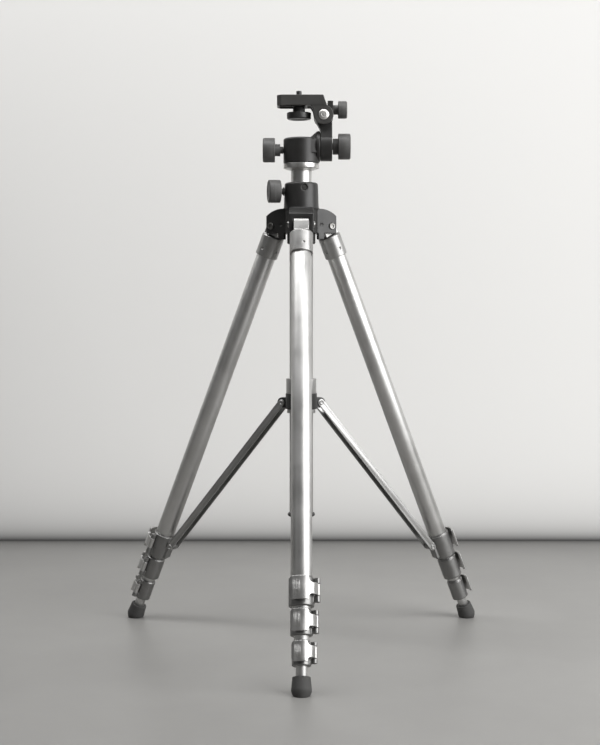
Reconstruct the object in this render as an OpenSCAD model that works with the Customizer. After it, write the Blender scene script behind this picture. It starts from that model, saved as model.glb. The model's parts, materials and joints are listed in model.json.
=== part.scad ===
/* [Stance] */
// Radius of the circle where the axes of the open legs meet the floor
foot_circle_r = 240; // [225:1:260]
// Angle of an open leg from the vertical
leg_angle = 23.3; // [21.5:0.1:25]

/* [Crown] */
// Distance from the column's axis to the pivots of the legs
leg_pivot_r = 33; // [32:0.5:36]
// Diameter of the crown's collar at its foot
crown_collar_d = 40.6; // [39:0.1:44]
// Height of the collar above the crown's arms
crown_collar_h = 30; // [24:0.5:36]
// Reach of a crown arm from the column's axis
crown_arm_r = 39.5; // [38:0.5:42]
// Width of a crown arm across both ears
crown_arm_w = 28; // [26:0.5:32]
// Height of the arms above the leg pivots
crown_arm_up = 20; // [16:0.5:24]
// Depth of the arms below the leg pivots
crown_arm_down = 8.6; // [7:0.1:9.5]
// Diameter of a leg's pivot bolt
pivot_bolt_d = 6; // [5:0.5:8]
// Width of the tongue on top of a leg
tongue_w = 17.4; // [15:0.1:19]
// Radius of the tongue around its pivot
tongue_r = 8.7; // [7:0.1:9.5]
// Angle of the retaining screw around the collar
set_screw_angle = -79; // [-100:1:-60]

/* [Centre column] */
// Outer diameter of the column
column_d = 24; // [22:0.1:25]
// Wall of the column
column_wall = 1.2; // [1:0.1:2]
// Length of the column
column_len = 345; // [300:1:360]
// Height that the column stands out of the crown
column_out = 14.8; // [8:0.1:60]
// Wall of the plastic bush in the collar
bush_wall = 2; // [1.5:0.1:2.5]
// Outer diameter of the guide tube
guide_tube_d = 27.4; // [27:0.1:28]
// Wall of the guide tube
guide_tube_wall = 1.1; // [0.8:0.1:1.2]
// Length of the guide tube below the leg pivots
guide_tube_drop = 335; // [300:1:350]
// Diameter of the nut under the crown
crown_nut_d = 32.8; // [31:0.1:34]
// Height of the nut under the crown
crown_nut_h = 12.5; // [8:0.5:16]

/* [Legs] */
// Outer diameters of the four leg sections, from the top
tube_d = [22.5, 19, 15.6, 12];
// Wall of the leg sections
tube_wall = 1; // [0.8:0.1:1.1]
// Depth of the socket's shoulder below the pivot
socket_shoulder = 10.6; // [10.6:0.1:12]
// Length of the socket below the pivot
socket_len = 37; // [34:0.5:44]
// Wall of the socket around the upper tube
socket_wall = 1.95; // [1.5:0.05:2.5]
// Heights of the three lock collars, from the top
lock_h = [30.7, 27.3, 25.5];
// Gaps between one lock and the next, from the top
lock_gap = [2.1, 4.5];
// Heights of the three levers, from the top
lever_h = [24, 22.6, 20.5];
// Wall of a lock collar
lock_wall = 2; // [1.6:0.1:2.5]
// Length of the lowest section that shows above the foot
lowest_tube_show = 10.2; // [6:0.1:14]
// Length of the rubber foot along the leg
foot_h = 22; // [20:0.5:26]
// Greatest diameter of the foot
foot_d = 20.8; // [20:0.1:23]
// Length of the foot above the point where the leg's axis meets the floor
foot_stand = 18.4; // [17:0.1:19.5]

/* [Lock levers] */
// Thickness of a lever
lever_t = 2.6; // [2:0.1:3]
// Gap between a lever and its collar
lever_gap = 2.2; // [1.8:0.1:3]
// Distance of a lever's hinge from its collar
lever_hinge_out = 3.6; // [3.4:0.1:4.2]
// Radius of a hinge knuckle
knuckle_r = 3; // [2.6:0.1:3.2]
// Height of a lever's own knuckle
knuckle_h = 12; // [10:0.1:12.6]
// Diameter of a lever's hinge pin
lever_pin_d = 2.6; // [2:0.1:3]

/* [Braces] */
// Length of a strut between its pivots
strut_len = 241.6; // [238:0.1:250]
// Depth of the strut's channel
strut_depth = 8; // [6:0.1:8]
// Thickness of the strut's sheet
strut_sheet = 1; // [0.8:0.1:1.2]
// Width of the lugs that the struts straddle
lug_w = 11.4; // [9:0.1:11.4]
// Diameter of a strut's rivet
strut_pin_d = 4; // [3:0.1:4.4]
// Distance of a strut's lower pivot from the leg's axis
strut_foot_off = 16.5; // [16:0.1:18]
// Depth of that pivot below the top of the first lock
strut_foot_drop = 10.4; // [8:0.1:15]
// Distance of a strut's upper pivot from the column's axis
brace_pivot_r = 23.2; // [23:0.1:25]
// Height of the sliding sleeve above the upper pivots
brace_sleeve_up = 28.3; // [20:0.1:36]
// Wall of the sliding sleeve
brace_sleeve_wall = 3.8; // [3.2:0.1:4.2]
// Radius of a lug on the brace collar
brace_lug_r = 6; // [5:0.1:6]

/* [Head] */
// Diameter of the pan base and of the housing on it
pan_d = 41.3; // [38:0.1:46]
// Height of the pan base's rim
pan_rim_h = 5.6; // [4:0.1:8]
// Height of the housing
housing_h = 29.2; // [27:0.1:34]
// Height of the tilt axis above the pan base
tilt_axis_up = 19.9; // [19:0.1:21]
// Radius of the housing's tilt disc
tilt_disc_r = 17.9; // [17:0.1:18.4]
// Distance from the column's axis to the inner side of the tilt arm
arm_x = 22.1; // [21.6:0.1:25]
// Thickness of the tilt arm
arm_t = 13.7; // [12:0.1:16]
// Radius of the tilt arm's round end
arm_r = 17; // [15:0.1:17.5]
// Height of the side hinge above the tilt axis
flip_up = 35.4; // [34:0.1:40]
// Radius of the side hinge's barrel and cheeks
flip_r = 11.3; // [10:0.1:11.5]
// Diameter of the side hinge's pin
flip_pin_d = 6; // [5:0.1:7]
// Height of the side lock's screw above that pin
flip_screw_up = 7.3; // [6.9:0.1:7.6]

/* [Platform] */
// Length of the platform at its top
platform_len = 57.2; // [52:0.1:64]
// Width of the platform
platform_w = 34; // [33:0.1:44]
// Thickness of the platform
platform_t = 12; // [10:0.1:14]
// Height of the platform's underside above the side hinge
platform_up = 10.9; // [10.6:0.1:12]
// Wall of the platform's rim and top
platform_wall = 2.6; // [2:0.1:3]
// Thickness of a hinge cheek
cheek_t = 5.8; // [4:0.1:6]
// Diameter of the camera screw
camera_screw_d = 6.35; // [6:0.01:6.35]
// Height of the camera screw above the platform
camera_screw_out = 6.2; // [4.5:0.1:7]
// Distance of the camera screw from the side hinge
camera_screw_x = 28.6; // [28.6:0.1:31]

/* [Knobs] */
// Diameter and length of the knob that locks the tilt
tilt_knob = [30, 14.2];
// Diameter and length of the knob that locks the pan
pan_knob = [28.4, 14];
// Diameter and length of the knob that locks the column
column_knob = [26.5, 14];
// Bearing of that knob around the column
column_knob_azimuth = 190; // [180:1:200]
// Diameter and length of the knob that locks the side hinge
flip_knob = [20.2, 10.4];
// Diameter and height of the knob under the platform
camera_knob = [28, 7.7];

/* [Fits] */
// Radial clearance of a part that turns or slides in another
running = 0.08; // [0.05:0.01:0.1]
// Radial clearance of a pin or screw in its hole
pin_gap = 0.04; // [0.02:0.01:0.06]
// Gap between faces that pass each other
side_gap = 0.3; // [0.2:0.05:0.5]

/* [Hidden] */
$fn = 64;
FRONT = -90;
RIGHT = 30;
LEFT = 150;

// Stance. The column stands behind the middle of the box around the three feet.
axis_y = foot_circle_r / 4;
leg_len = (foot_circle_r - leg_pivot_r) / sin(leg_angle);
pivot_z = leg_len * cos(leg_angle);
leg_angles = [FRONT, RIGHT, LEFT];

// Crown and column heights
arm_top_z = pivot_z + crown_arm_up;
collar_top_z = arm_top_z + crown_collar_h;
arm_bottom_z = pivot_z - crown_arm_down;
collar_taper = 0.9;
bush_r = column_d / 2 + running + bush_wall;
bush_bottom_z = arm_top_z + 3;
column_lock_z = collar_top_z - 10.2;
column_top_z = collar_top_z + column_out;

// Positions along a leg, measured down from its pivot
foot_top = leg_len - foot_stand;
function lock_bottom(k) = k == 2 ? foot_top - lowest_tube_show : lock_top(k + 1) - lock_gap[k];
function lock_top(k) = lock_bottom(k) - lock_h[k];
function lock_r(k) = tube_d[k] / 2 + lock_wall;
lever_inset = 2;
function lever_mid(k) = lock_top(k) + lever_inset + lever_h[k] / 2;
lock_hinge_angle = 75;
lever_centre = 1.8;
tongue_gap = 0.6;
tube_nest = 9;

// Strut triangle
strut_foot_a = lock_top(0) + strut_foot_drop;
strut_foot_r = leg_pivot_r + strut_foot_a * sin(leg_angle) - strut_foot_off * cos(leg_angle);
strut_foot_z = pivot_z - strut_foot_a * cos(leg_angle) - strut_foot_off * sin(leg_angle);
strut_run = strut_foot_r - brace_pivot_r;
brace_z = strut_foot_z + sqrt(strut_len * strut_len - strut_run * strut_run);
strut_angle = atan2(strut_run, brace_z - strut_foot_z);
ear_in = lug_w / 2 + 0.25;
ear_out = ear_in + strut_sheet;
rivet_head_r = 3.1;
rivet_head_h = 0.9;

// Head heights and places
pan_floor_z = column_top_z;
pan_rim_z = pan_floor_z + 1.9;
housing_z = pan_rim_z + pan_rim_h + side_gap;
tilt_z = pan_rim_z + pan_rim_h + tilt_axis_up;
axle_r = 8;
flip_x = arm_x + 3.8;
flip_z = tilt_z + flip_up;
platform_z = flip_z + platform_up;
platform_left = flip_x + 3.7 - platform_len - 4.2 + 3.7;
camera_x = flip_x - camera_screw_x;
cheek_in = platform_w / 2 - 0.5 - cheek_t;
barrel_half = cheek_in - side_gap;
far = 400;

// Frames
module on_axis(z = 0) {
    translate([0, axis_y, z]) children();
}

module around_axis() {
    for (a = leg_angles) on_axis() rotate([0, 0, a]) children();
}

module on_leg(azimuth) {
    on_axis() rotate([0, 0, azimuth]) translate([leg_pivot_r, 0, pivot_z]) rotate([0, -leg_angle, 0]) children();
}

// A cylinder along X from x0 to x1
module bar_x(r, x0, x1) {
    translate([x0, 0, 0]) rotate([0, 90, 0]) cylinder(r = r, h = x1 - x0);
}

// A cylinder along Y from y0 to y1
module bar_y(r, y0, y1) {
    translate([0, y0, 0]) rotate([-90, 0, 0]) cylinder(r = r, h = y1 - y0);
}

// A tube with its top at z = -top and its bottom at z = -bottom
module tube(d, wall, top, bottom) {
    difference() {
        translate([0, 0, -bottom]) cylinder(d = d, h = bottom - top);
        translate([0, 0, -bottom - 1]) cylinder(d = d - 2 * wall, h = bottom - top + 2);
    }
}

// A wedge in the XY plane from angle a0 to a1, reaching past radius r
module wedge(r, a0, a1) {
    steps = 4;
    polygon(concat([[0, 0]], [for (i = [0:steps]) let (a = a0 + (a1 - a0) * i / steps) 2 * r * [cos(a), sin(a)]]));
}

// A round grip with bevelled rims, from z = 0 up to its outer face, which is slightly hollow
module grip(size) {
    bevel = 1;
    rotate_extrude() polygon([
        [0, 0], [size[0] / 2 - bevel / 2, 0], [size[0] / 2, bevel / 2],
        [size[0] / 2, size[1] - bevel], [size[0] / 2 - bevel, size[1]],
        [size[0] / 2 - 4, size[1]], [size[0] / 2 - 5.5, size[1] - 0.8], [0, size[1] - 0.8]
    ]);
}

// Crown
module crown_arm_outline() {
    arch = 32.9;
    arch_x = 18;
    stop = socket_shoulder - 0.1;
    difference() {
        translate([0, -crown_arm_down]) square([crown_arm_r, crown_arm_down + crown_arm_up]);
        difference() {
            translate([arch_x, 4]) square([arch, arch]);
            translate([arch_x, crown_arm_up - arch]) circle(r = arch);
        }
        // The flat that an open leg's shoulder bears on
        translate([leg_pivot_r, 0]) rotate(leg_angle) translate([-far / 2, -stop - far]) square([far, far]);
    }
}

module crown_solid() {
    hub_r = crown_collar_d / 2;
    lip = 2.6;
    heel_w = (crown_arm_w - tongue_w) / 2 - tongue_gap;
    heel_r = 15;
    heel_out = 9.9;
    heel_down = 15.9;
    heel_stop = socket_shoulder - 0.2;
    difference() {
        union() {
            on_axis() rotate_extrude() union() {
                polygon([
                    [0, arm_bottom_z], [hub_r - 1, arm_bottom_z], [hub_r - 1, arm_top_z - 2], [hub_r, arm_top_z - 0.5],
                    [hub_r, arm_top_z + 1], [hub_r - collar_taper, collar_top_z - lip],
                    [hub_r - collar_taper - lip, collar_top_z - lip], [hub_r - collar_taper - lip, collar_top_z],
                    [0, collar_top_z]
                ]);
                translate([hub_r - collar_taper - lip, collar_top_z - lip]) circle(r = lip);
            }
            around_axis() translate([0, crown_arm_w / 2, pivot_z]) rotate([90, 0, 0])
                linear_extrude(crown_arm_w) intersection() {
                    crown_arm_outline();
                    translate([12, -far / 2]) square([far, far]);
                }
            // Heels that guard the tongue on both sides, clear of the socket as the leg folds
            around_axis() for (y = [-crown_arm_w / 2, crown_arm_w / 2 - heel_w]) translate([heel_r, y, pivot_z - heel_down])
                difference() {
                    cube([leg_pivot_r - heel_r - heel_out, heel_w, heel_down]);
                    translate([leg_pivot_r - heel_r, 0, heel_down]) rotate([0, -leg_angle, 0])
                        translate([-far / 2, -1, -far - heel_stop]) cube([far, heel_w + 2, far]);
                }
        }
        // Pockets for the legs' tongues
        around_axis() translate([leg_pivot_r, 0, pivot_z]) {
            pocket_w = tongue_w + 2 * tongue_gap;
            bar_y(tongue_r + 0.5, -pocket_w / 2, pocket_w / 2);
            translate([-tongue_r - 0.5, -pocket_w / 2, -far]) cube([far, pocket_w, far]);
            bar_y(pivot_bolt_d / 2 + pin_gap, -far / 2, far / 2);
            // A dimple and a parting groove in the outer side of each ear
            for (side = [-1, 1]) translate([0, side * crown_arm_w / 2, 0]) {
                translate([-13.6, 0, 1.2]) bar_y(2.1, -0.6, 0.6);
                translate([-12, -0.4, 0.9]) cube([8.4, 0.8, 0.7]);
            }
        }
        on_axis(bush_bottom_z) cylinder(r = bush_r, h = far);
        on_axis(arm_bottom_z - 1) cylinder(d = guide_tube_d, h = far);
        on_axis(column_lock_z) rotate([0, 0, column_knob_azimuth]) bar_x(3 + pin_gap, 0, far / 2);
        on_axis(collar_top_z - 6.3) rotate([0, 0, set_screw_angle]) {
            bar_x(2.9 + pin_gap, 0, far / 2);
            translate([crown_collar_d / 2 - collar_taper - 1.7, 0, 0]) rotate([0, 90, 0]) cylinder(r1 = 2.9, r2 = 4.2, h = 2);
        }
    }
}

module crown() {
    color([0.16, 0.16, 0.16]) intersection() {
        crown_solid();
        on_axis() cylinder(r = far, h = far * 2);
    }
}

module leg_pivot_bolts() {
    color("silver") around_axis() translate([leg_pivot_r, 0, pivot_z]) {
        bar_y(pivot_bolt_d / 2, -crown_arm_w / 2 - 0.1, crown_arm_w / 2 + 0.1);
        for (side = [-1, 1]) rotate([side * 90, 0, 0]) translate([0, 0, crown_arm_w / 2 + 0.05])
            rotate_extrude() polygon([[0, 0], [3.9, 0], [3.9, 0.8], [3.3, 1.7], [2, 1.7], [1.7, 0.5], [0, 0.5]]);
    }
}

module column_bush() {
    color("white") on_axis(bush_bottom_z) difference() {
        cylinder(r = bush_r, h = collar_top_z - bush_bottom_z - 0.4);
        translate([0, 0, -1]) cylinder(r = column_d / 2 + running, h = far);
        translate([0, 0, column_lock_z - bush_bottom_z]) rotate([0, 0, column_knob_azimuth]) bar_x(3 + pin_gap, 0, far / 2);
        translate([0, 0, collar_top_z - 6.3 - bush_bottom_z]) rotate([0, 0, set_screw_angle])
            bar_x(2.9 + pin_gap, bush_r - 0.8, far / 2);
    }
}

module collar_set_screw() {
    head_end = crown_collar_d / 2 - collar_taper - 1.1;
    color("gray") on_axis(collar_top_z - 6.3) rotate([0, 0, set_screw_angle]) difference() {
        bar_x(2.9, bush_r - 0.7, head_end);
        rotate([28, 0, 0]) translate([head_end - 0.9, -far / 2, -0.45]) cube([2, far, 0.9]);
    }
}

module crown_nut() {
    color([0.1, 0.1, 0.1]) on_axis(arm_bottom_z - crown_nut_h) difference() {
        rotate_extrude() polygon([
            [0, 0], [crown_nut_d / 2 - 1, 0], [crown_nut_d / 2, 1], [crown_nut_d / 2, crown_nut_h], [0, crown_nut_h]
        ]);
        translate([0, 0, -1]) cylinder(d = guide_tube_d, h = far);
    }
}

guide_tube_bottom_z = pivot_z - guide_tube_drop;

module guide_tube() {
    color("silver") on_axis(bush_bottom_z) tube(guide_tube_d, guide_tube_wall, 0, bush_bottom_z - guide_tube_bottom_z);
}

// A plastic end ring with a rolled bead, pressed over the lower end of the guide tube
module guide_tube_end() {
    bead = 2.2;
    bore = guide_tube_d / 2 - guide_tube_wall;
    color([0.2, 0.2, 0.2]) on_axis(guide_tube_bottom_z) rotate_extrude() difference() {
        union() {
            translate([guide_tube_d / 2, 0]) circle(r = bead);
            translate([bore - 1.2, -bead]) square([bead + 0.1, bead + 8]);
        }
        translate([bore, 0]) square([guide_tube_wall, far]);
    }
}

// Centre column
module column_tube() {
    plug_h = 12;
    color("silver") on_axis(column_top_z - column_len) difference() {
        cylinder(d = column_d, h = column_len);
        translate([0, 0, -1]) cylinder(d = column_d - 2 * column_wall, h = column_len - plug_h + 1);
        cylinder(r = 4.76, h = column_len + 1);
    }
}

module head_stud() {
    color("gray") on_axis(column_top_z - 16) cylinder(r = 4.7, h = 28);
}

// The grip, its thin neck and the screw that presses on the column
module column_lock_knob() {
    grip_x = crown_collar_d / 2 + 4.6;
    seat = crown_collar_d / 2 + 0.2;
    color([0.13, 0.13, 0.13]) on_axis(column_lock_z) rotate([0, 0, column_knob_azimuth]) union() {
        translate([grip_x, 0, 0]) rotate([0, 90, 0]) grip(column_knob);
        bar_x(3, column_d / 2 + side_gap, grip_x + 1);
        translate([seat, 0, 0]) rotate([0, 90, 0]) cylinder(r1 = 5.4, r2 = 3, h = (grip_x - seat) / 2);
        translate([(grip_x + seat) / 2, 0, 0]) rotate([0, 90, 0]) cylinder(r1 = 3, r2 = 6, h = (grip_x - seat) / 2);
    }
}

// Brace collar
sleeve_bore = guide_tube_d / 2 + running;
lug_ring_bore = sleeve_bore + 1.25;
brace_ring_r = sleeve_bore + brace_sleeve_wall + 0.6;
brace_block_up = 11.2;
brace_block_down = 7;

module brace_sleeve() {
    foot = 4.6;
    color([0.75, 0.75, 0.75]) on_axis(brace_z) difference() {
        union() {
            translate([0, 0, brace_block_up]) cylinder(r = sleeve_bore + brace_sleeve_wall, h = brace_sleeve_up - brace_block_up);
            translate([0, 0, -brace_block_down]) cylinder(r = lug_ring_bore, h = brace_block_up + brace_block_down + 1);
            translate([0, 0, -brace_block_down - foot]) cylinder(r = sleeve_bore + 2.6, h = foot);
        }
        translate([0, 0, -far / 2]) cylinder(r = sleeve_bore, h = far);
    }
}

module brace_lug_ring() {
    ear_slot = 2.6;
    color([0.12, 0.12, 0.12]) on_axis(brace_z) difference() {
        union() {
            translate([0, 0, -brace_block_down]) cylinder(r = brace_ring_r, h = brace_block_up + brace_block_down);
            for (a = leg_angles) rotate([0, 0, a]) {
                translate([brace_pivot_r, 0, 0]) bar_y(brace_lug_r, -lug_w / 2, lug_w / 2);
                translate([lug_ring_bore, -lug_w / 2, -brace_lug_r])
                    cube([brace_pivot_r - lug_ring_bore, lug_w, 2 * brace_lug_r]);
            }
        }
        translate([0, 0, -far / 2]) cylinder(r = lug_ring_bore, h = far);
        // Grooves beside each lug for the ears of the strut to swing in
        for (a = leg_angles, side = [-1, 1]) rotate([0, 0, a])
            translate([lug_ring_bore + 0.6, side * (lug_w + ear_slot) / 2 - ear_slot / 2, -far / 2])
                cube([far, ear_slot, far / 2 + brace_block_up - 1.8]);
    }
}

// Leg sections
module leg_socket(azimuth) {
    socket_r = tube_d[0] / 2 + socket_wall;
    flare = 1.6;
    seat = 17;
    crimp_r = 1.4;
    crimp_angles = [12, 85, 165, 195, 275];
    color([0.72, 0.72, 0.72]) on_leg(azimuth) difference() {
        union() {
            bar_y(tongue_r, -tongue_w / 2, tongue_w / 2);
            translate([-tongue_r, -tongue_w / 2, -socket_shoulder - 1]) cube([2 * tongue_r, tongue_w, socket_shoulder + 1]);
            translate([0, 0, -socket_len]) cylinder(r = socket_r, h = socket_len - socket_shoulder - flare);
            translate([0, 0, -socket_shoulder - flare]) cylinder(r1 = socket_r, r2 = socket_r - flare, h = flare);
        }
        bar_y(pivot_bolt_d / 2 + running, -far / 2, far / 2);
        translate([0, 0, -far - seat]) cylinder(d = tube_d[0], h = far);
        for (a = crimp_angles) rotate([0, 0, a]) translate([0, 0, -socket_len + 9]) bar_x(crimp_r, socket_r - 1.3, far);
    }
}

module upper_tube(azimuth) {
    color("silver") on_leg(azimuth) tube(tube_d[0], tube_wall, 17, lock_bottom(0) - 14);
}

// Section k of a leg, with the plastic bush that guides its top inside the section above
module inner_tube(azimuth, k) {
    top = 22 + tube_nest * k + 14;
    bottom = k == 3 ? foot_top + foot_h - 9 : lock_bottom(k) - 14;
    bush_h = 14;
    color("silver") on_leg(azimuth) union() {
        tube(tube_d[k], tube_wall, top, bottom);
        tube(tube_d[k - 1] - 2 * tube_wall - 2 * running, (tube_d[k - 1] - tube_d[k]) / 2 - tube_wall - running + 0.2, top, top + bush_h);
    }
}

// Where the hinge pin of lock k stands, in the leg's frame
function lock_hinge(k) = (lock_r(k) + lever_hinge_out) * [cos(lock_hinge_angle), sin(lock_hinge_angle)];

// One outer knuckle of lock k with its arm, from z0 up to z1, smaller all round by the slack
module collar_knuckle(k, z0, z1, slack) {
    arm = 5 - 4 * slack;
    past = 0.8 - 2 * slack;
    translate([0, 0, z0]) linear_extrude(z1 - z0) translate(lock_hinge(k)) circle(r = knuckle_r - slack);
    translate([0, 0, z0]) rotate([0, 0, lock_hinge_angle]) translate([lock_r(k) - 1.4, -arm / 2, 0])
        cube([lever_hinge_out + 1.4 + past, arm, z1 - z0]);
}

module lock_collar(azimuth, k) {
    h = lock_h[k];
    mid = -lever_mid(k);
    knuckle_top = lever_h[k] / 2;
    knuckle_low = lever_h[k] / 2 + 0.8;
    inner = knuckle_h / 2 + side_gap;
    bore_h = 14;
    neck_r = tube_d[k] / 2 + 1;
    neck_h = 1.1;
    slope = 0.8;
    color([0.62, 0.62, 0.62]) on_leg(azimuth) {
        difference() {
            union() {
                translate([0, 0, -lock_bottom(k)]) rotate_extrude() polygon([
                    [0, 0], [lock_r(k) - slope, 0], [lock_r(k), slope], [lock_r(k), h - neck_h - slope],
                    [neck_r, h - neck_h], [neck_r, h], [0, h]
                ]);
                collar_knuckle(k, mid + inner, mid + knuckle_top, 0.05);
                collar_knuckle(k, mid - knuckle_low, mid - inner, 0);
                if (k == 0) strut_lug();
            }
            translate([0, 0, -lock_bottom(k) + bore_h]) cylinder(d = tube_d[k], h = far);
            translate([0, 0, -lock_bottom(k) - 1]) cylinder(d = tube_d[k + 1] + 2 * running, h = far);
            translate([lock_hinge(k)[0], lock_hinge(k)[1], mid - far / 2]) cylinder(d = lever_pin_d + 2 * pin_gap, h = far);
            if (k == 0) translate([-strut_foot_off, 0, -strut_foot_a]) bar_y(strut_pin_d / 2 + running, -far / 2, far / 2);
        }
        translate([lock_hinge(k)[0], lock_hinge(k)[1], mid - knuckle_low - 0.4])
            cylinder(d = lever_pin_d, h = knuckle_top + knuckle_low + 0.8);
    }
}

// The rib on the inner side of the first collar, which the strut's ears straddle
module strut_lug() {
    rib_r = strut_depth / 2 + 0.1;
    rib_end = lock_bottom(0) - 3;
    translate([-strut_foot_off, 0, -strut_foot_a]) bar_y(rib_r, -lug_w / 2, lug_w / 2);
    translate([-strut_foot_off, -lug_w / 2, -strut_foot_a - rib_r]) cube([strut_foot_off - lock_r(0) + 3, lug_w, 2 * rib_r]);
    translate([-lock_r(0) - 1.8, -lug_w / 2, -rib_end]) cube([4, lug_w, rib_end - strut_foot_a]);
}

module lock_lever(azimuth, k) {
    h = lever_h[k];
    mid = -lever_mid(k);
    r_in = lock_r(k) + lever_gap;
    free_end = -45;
    neck_start = 26;
    neck_end = 78;
    corner = 4;
    fillet = 3.5;
    color([0.5, 0.5, 0.5]) on_leg(azimuth) translate([0, 0, mid]) difference() {
        union() {
            translate([lever_centre, 0, 0]) rotate([0, 0, free_end]) rotate_extrude(angle = neck_end - free_end)
                translate([r_in, -h / 2]) square([lever_t, h]);
            translate([lock_hinge(k)[0], lock_hinge(k)[1], -knuckle_h / 2]) cylinder(r = knuckle_r, h = knuckle_h);
        }
        translate([lock_hinge(k)[0], lock_hinge(k)[1], -far / 2]) cylinder(d = lever_pin_d + 2 * running, h = far);
        // Above and below the knuckle the plate is cut away, with a fillet
        for (side = [0, 180]) translate([lever_centre, 0, 0]) rotate([0, 0, neck_start]) mirror([0, 0, side / 180])
            translate([0, 0, knuckle_h / 2]) {
                translate([0, fillet, 0]) cube([far, far, far]);
                translate([0, 0, fillet]) cube([far, far, far]);
                translate([0, fillet, fillet]) bar_x(fillet, 0, far);
            }
        // Round corners at the free end
        for (side = [0, 180]) translate([lever_centre, 0, 0]) rotate([0, 0, free_end]) mirror([0, 0, side / 180])
            translate([0, 0, h / 2 - corner]) difference() {
                translate([r_in - 2, -1, 0]) cube([lever_t + 4, corner + 1, corner + 1]);
                translate([0, corner, 0]) bar_x(corner, 0, far);
            }
    }
}

module foot(azimuth) {
    color([0.08, 0.08, 0.08]) difference() {
        on_leg(azimuth) translate([0, 0, -foot_top]) rotate([180, 0, 0]) difference() {
            rotate_extrude() polygon([
                [0, 0], [foot_d / 2 - 1.6, 0], [foot_d / 2 - 1.1, 0.5], [foot_d / 2 - 0.9, 3], [foot_d / 2, foot_h * 0.56],
                [foot_d / 2, foot_h * 0.62], [foot_d / 2 - 0.7, foot_h * 0.73], [foot_d / 2 - 3.7, foot_h], [0, foot_h]
            ]);
            translate([0, 0, -1]) cylinder(d = tube_d[3], h = foot_h - 9 + 1);
        }
        translate([-far, -far, -far]) cube([2 * far, 2 * far, far]);
    }
}

// A channel of sheet, open towards the column, that straddles a lug at each end
module strut(azimuth) {
    half = strut_depth / 2;
    web_cut_low = 13;
    web_cut_high = 16;
    color("silver") on_axis() rotate([0, 0, azimuth]) translate([strut_foot_r, 0, strut_foot_z]) rotate([0, -strut_angle, 0]) {
        difference() {
            union() {
                for (side = [-1, 1]) {
                    inner = side > 0 ? ear_in : -ear_out;
                    translate([-half, inner, 0]) cube([2 * half, strut_sheet, strut_len]);
                    bar_y(half, inner, inner + strut_sheet);
                    translate([0, 0, strut_len]) bar_y(half, inner, inner + strut_sheet);
                }
                translate([half - strut_sheet, -ear_out, web_cut_low])
                    cube([strut_sheet, 2 * ear_out, strut_len - web_cut_low - web_cut_high]);
            }
            for (z = [0, strut_len]) translate([0, 0, z]) bar_y(strut_pin_d / 2 + pin_gap, -far / 2, far / 2);
        }
        // The lower rivet goes through the lug
        strut_rivet();
        // The upper ones are stubs, so that they pass clear of the collar's lug
        translate([0, 0, strut_len]) for (side = [-1, 1]) rotate([0, 0, side > 0 ? 0 : 180]) strut_stub();
    }
}

module strut_rivet() {
    bar_y(strut_pin_d / 2, -ear_out - 0.1, ear_out + 0.1);
    for (side = [-1, 1]) rotate([side * 90, 0, 0]) translate([0, 0, ear_out + 0.05])
        rivet_head();
}

module strut_stub() {
    bar_y(strut_pin_d / 2, ear_in, ear_out + 0.1);
    rotate([-90, 0, 0]) translate([0, 0, ear_out + 0.05]) rivet_head();
}

// A tubular rivet's rolled head, with the hollow left by the punch
module rivet_head() {
    r = rivet_head_r;
    h = rivet_head_h;
    rotate_extrude() polygon([[0, 0], [r, 0], [r, 0.3], [r - 0.7, h], [r - 1.3, h], [r - 1.9, 0.3], [0, 0.3]]);
}

// Head
module pan_base() {
    r = pan_d / 2;
    color([0.8, 0.8, 0.8]) on_axis() difference() {
        rotate_extrude() polygon([
            [0, pan_floor_z], [15, pan_floor_z], [r, pan_rim_z], [r, pan_rim_z + pan_rim_h], [axle_r, pan_rim_z + pan_rim_h],
            [axle_r, tilt_z - 9], [axle_r - 1, tilt_z - 8.4], [axle_r - 1, tilt_z + 1], [axle_r, tilt_z + 1.6],
            [axle_r, tilt_z + 4], [0, tilt_z + 4]
        ]);
        translate([0, 0, pan_floor_z - 1]) cylinder(r = 4.76, h = 14);
    }
}

pan_lock_z_drop = 4.1;

module pan_housing() {
    r = pan_d / 2 + 0.1;
    top = housing_z + housing_h;
    lip = 2.6;
    disc_x = arm_x - side_gap;
    cheek_down = 8.5;
    cheek_y = 15;
    color([0.17, 0.17, 0.17]) on_axis() difference() {
        union() {
            rotate_extrude() union() {
                polygon([[0, housing_z], [r, housing_z], [r, top - lip], [r - lip, top - lip], [r - lip, top], [0, top]]);
                translate([r - lip, top - lip]) circle(r = lip);
            }
            translate([0, 0, tilt_z]) {
                bar_x(tilt_disc_r, disc_x - 3.6, disc_x);
                translate([disc_x - 13, 0, 0]) rotate([0, 90, 0]) cylinder(r1 = tilt_disc_r - 8.4, r2 = tilt_disc_r, h = 9.5);
            }
            // Flat cheeks that run from the barrel out to the disc
            translate([0, 0, tilt_z - cheek_down]) linear_extrude(top - lip - tilt_z + cheek_down)
                polygon([[0, -r], [disc_x - 1, -cheek_y], [disc_x - 1, cheek_y], [0, r]]);
        }
        translate([0, 0, housing_z - far]) cylinder(r = axle_r + running, h = far + tilt_z + 4 + side_gap - housing_z);
        translate([0, 0, tilt_z]) bar_x(4 + pin_gap, axle_r + 0.6, far);
        translate([0, 0, tilt_z - pan_lock_z_drop]) bar_x(3.5 + pin_gap, -far, -axle_r + 1);
        translate([-far / 2, -far / 2, housing_z - far]) cube([far, far, far]);
    }
}

module pan_lock_knob() {
    grip_x = pan_d / 2 + 10;
    color([0.13, 0.13, 0.13]) on_axis(tilt_z - pan_lock_z_drop) rotate([0, 0, 180]) union() {
        translate([grip_x, 0, 0]) rotate([0, 90, 0]) grip(pan_knob);
        bar_x(7, grip_x - 6.2, grip_x + 1);
        bar_x(4.1, pan_d / 2 + 0.4, grip_x);
        bar_x(3.5, axle_r - 0.6, grip_x);
    }
}

// Prisms right through, seen along Y and along X
module through_y() {
    translate([0, far / 2, 0]) rotate([90, 0, 0]) linear_extrude(far) children();
}

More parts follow.
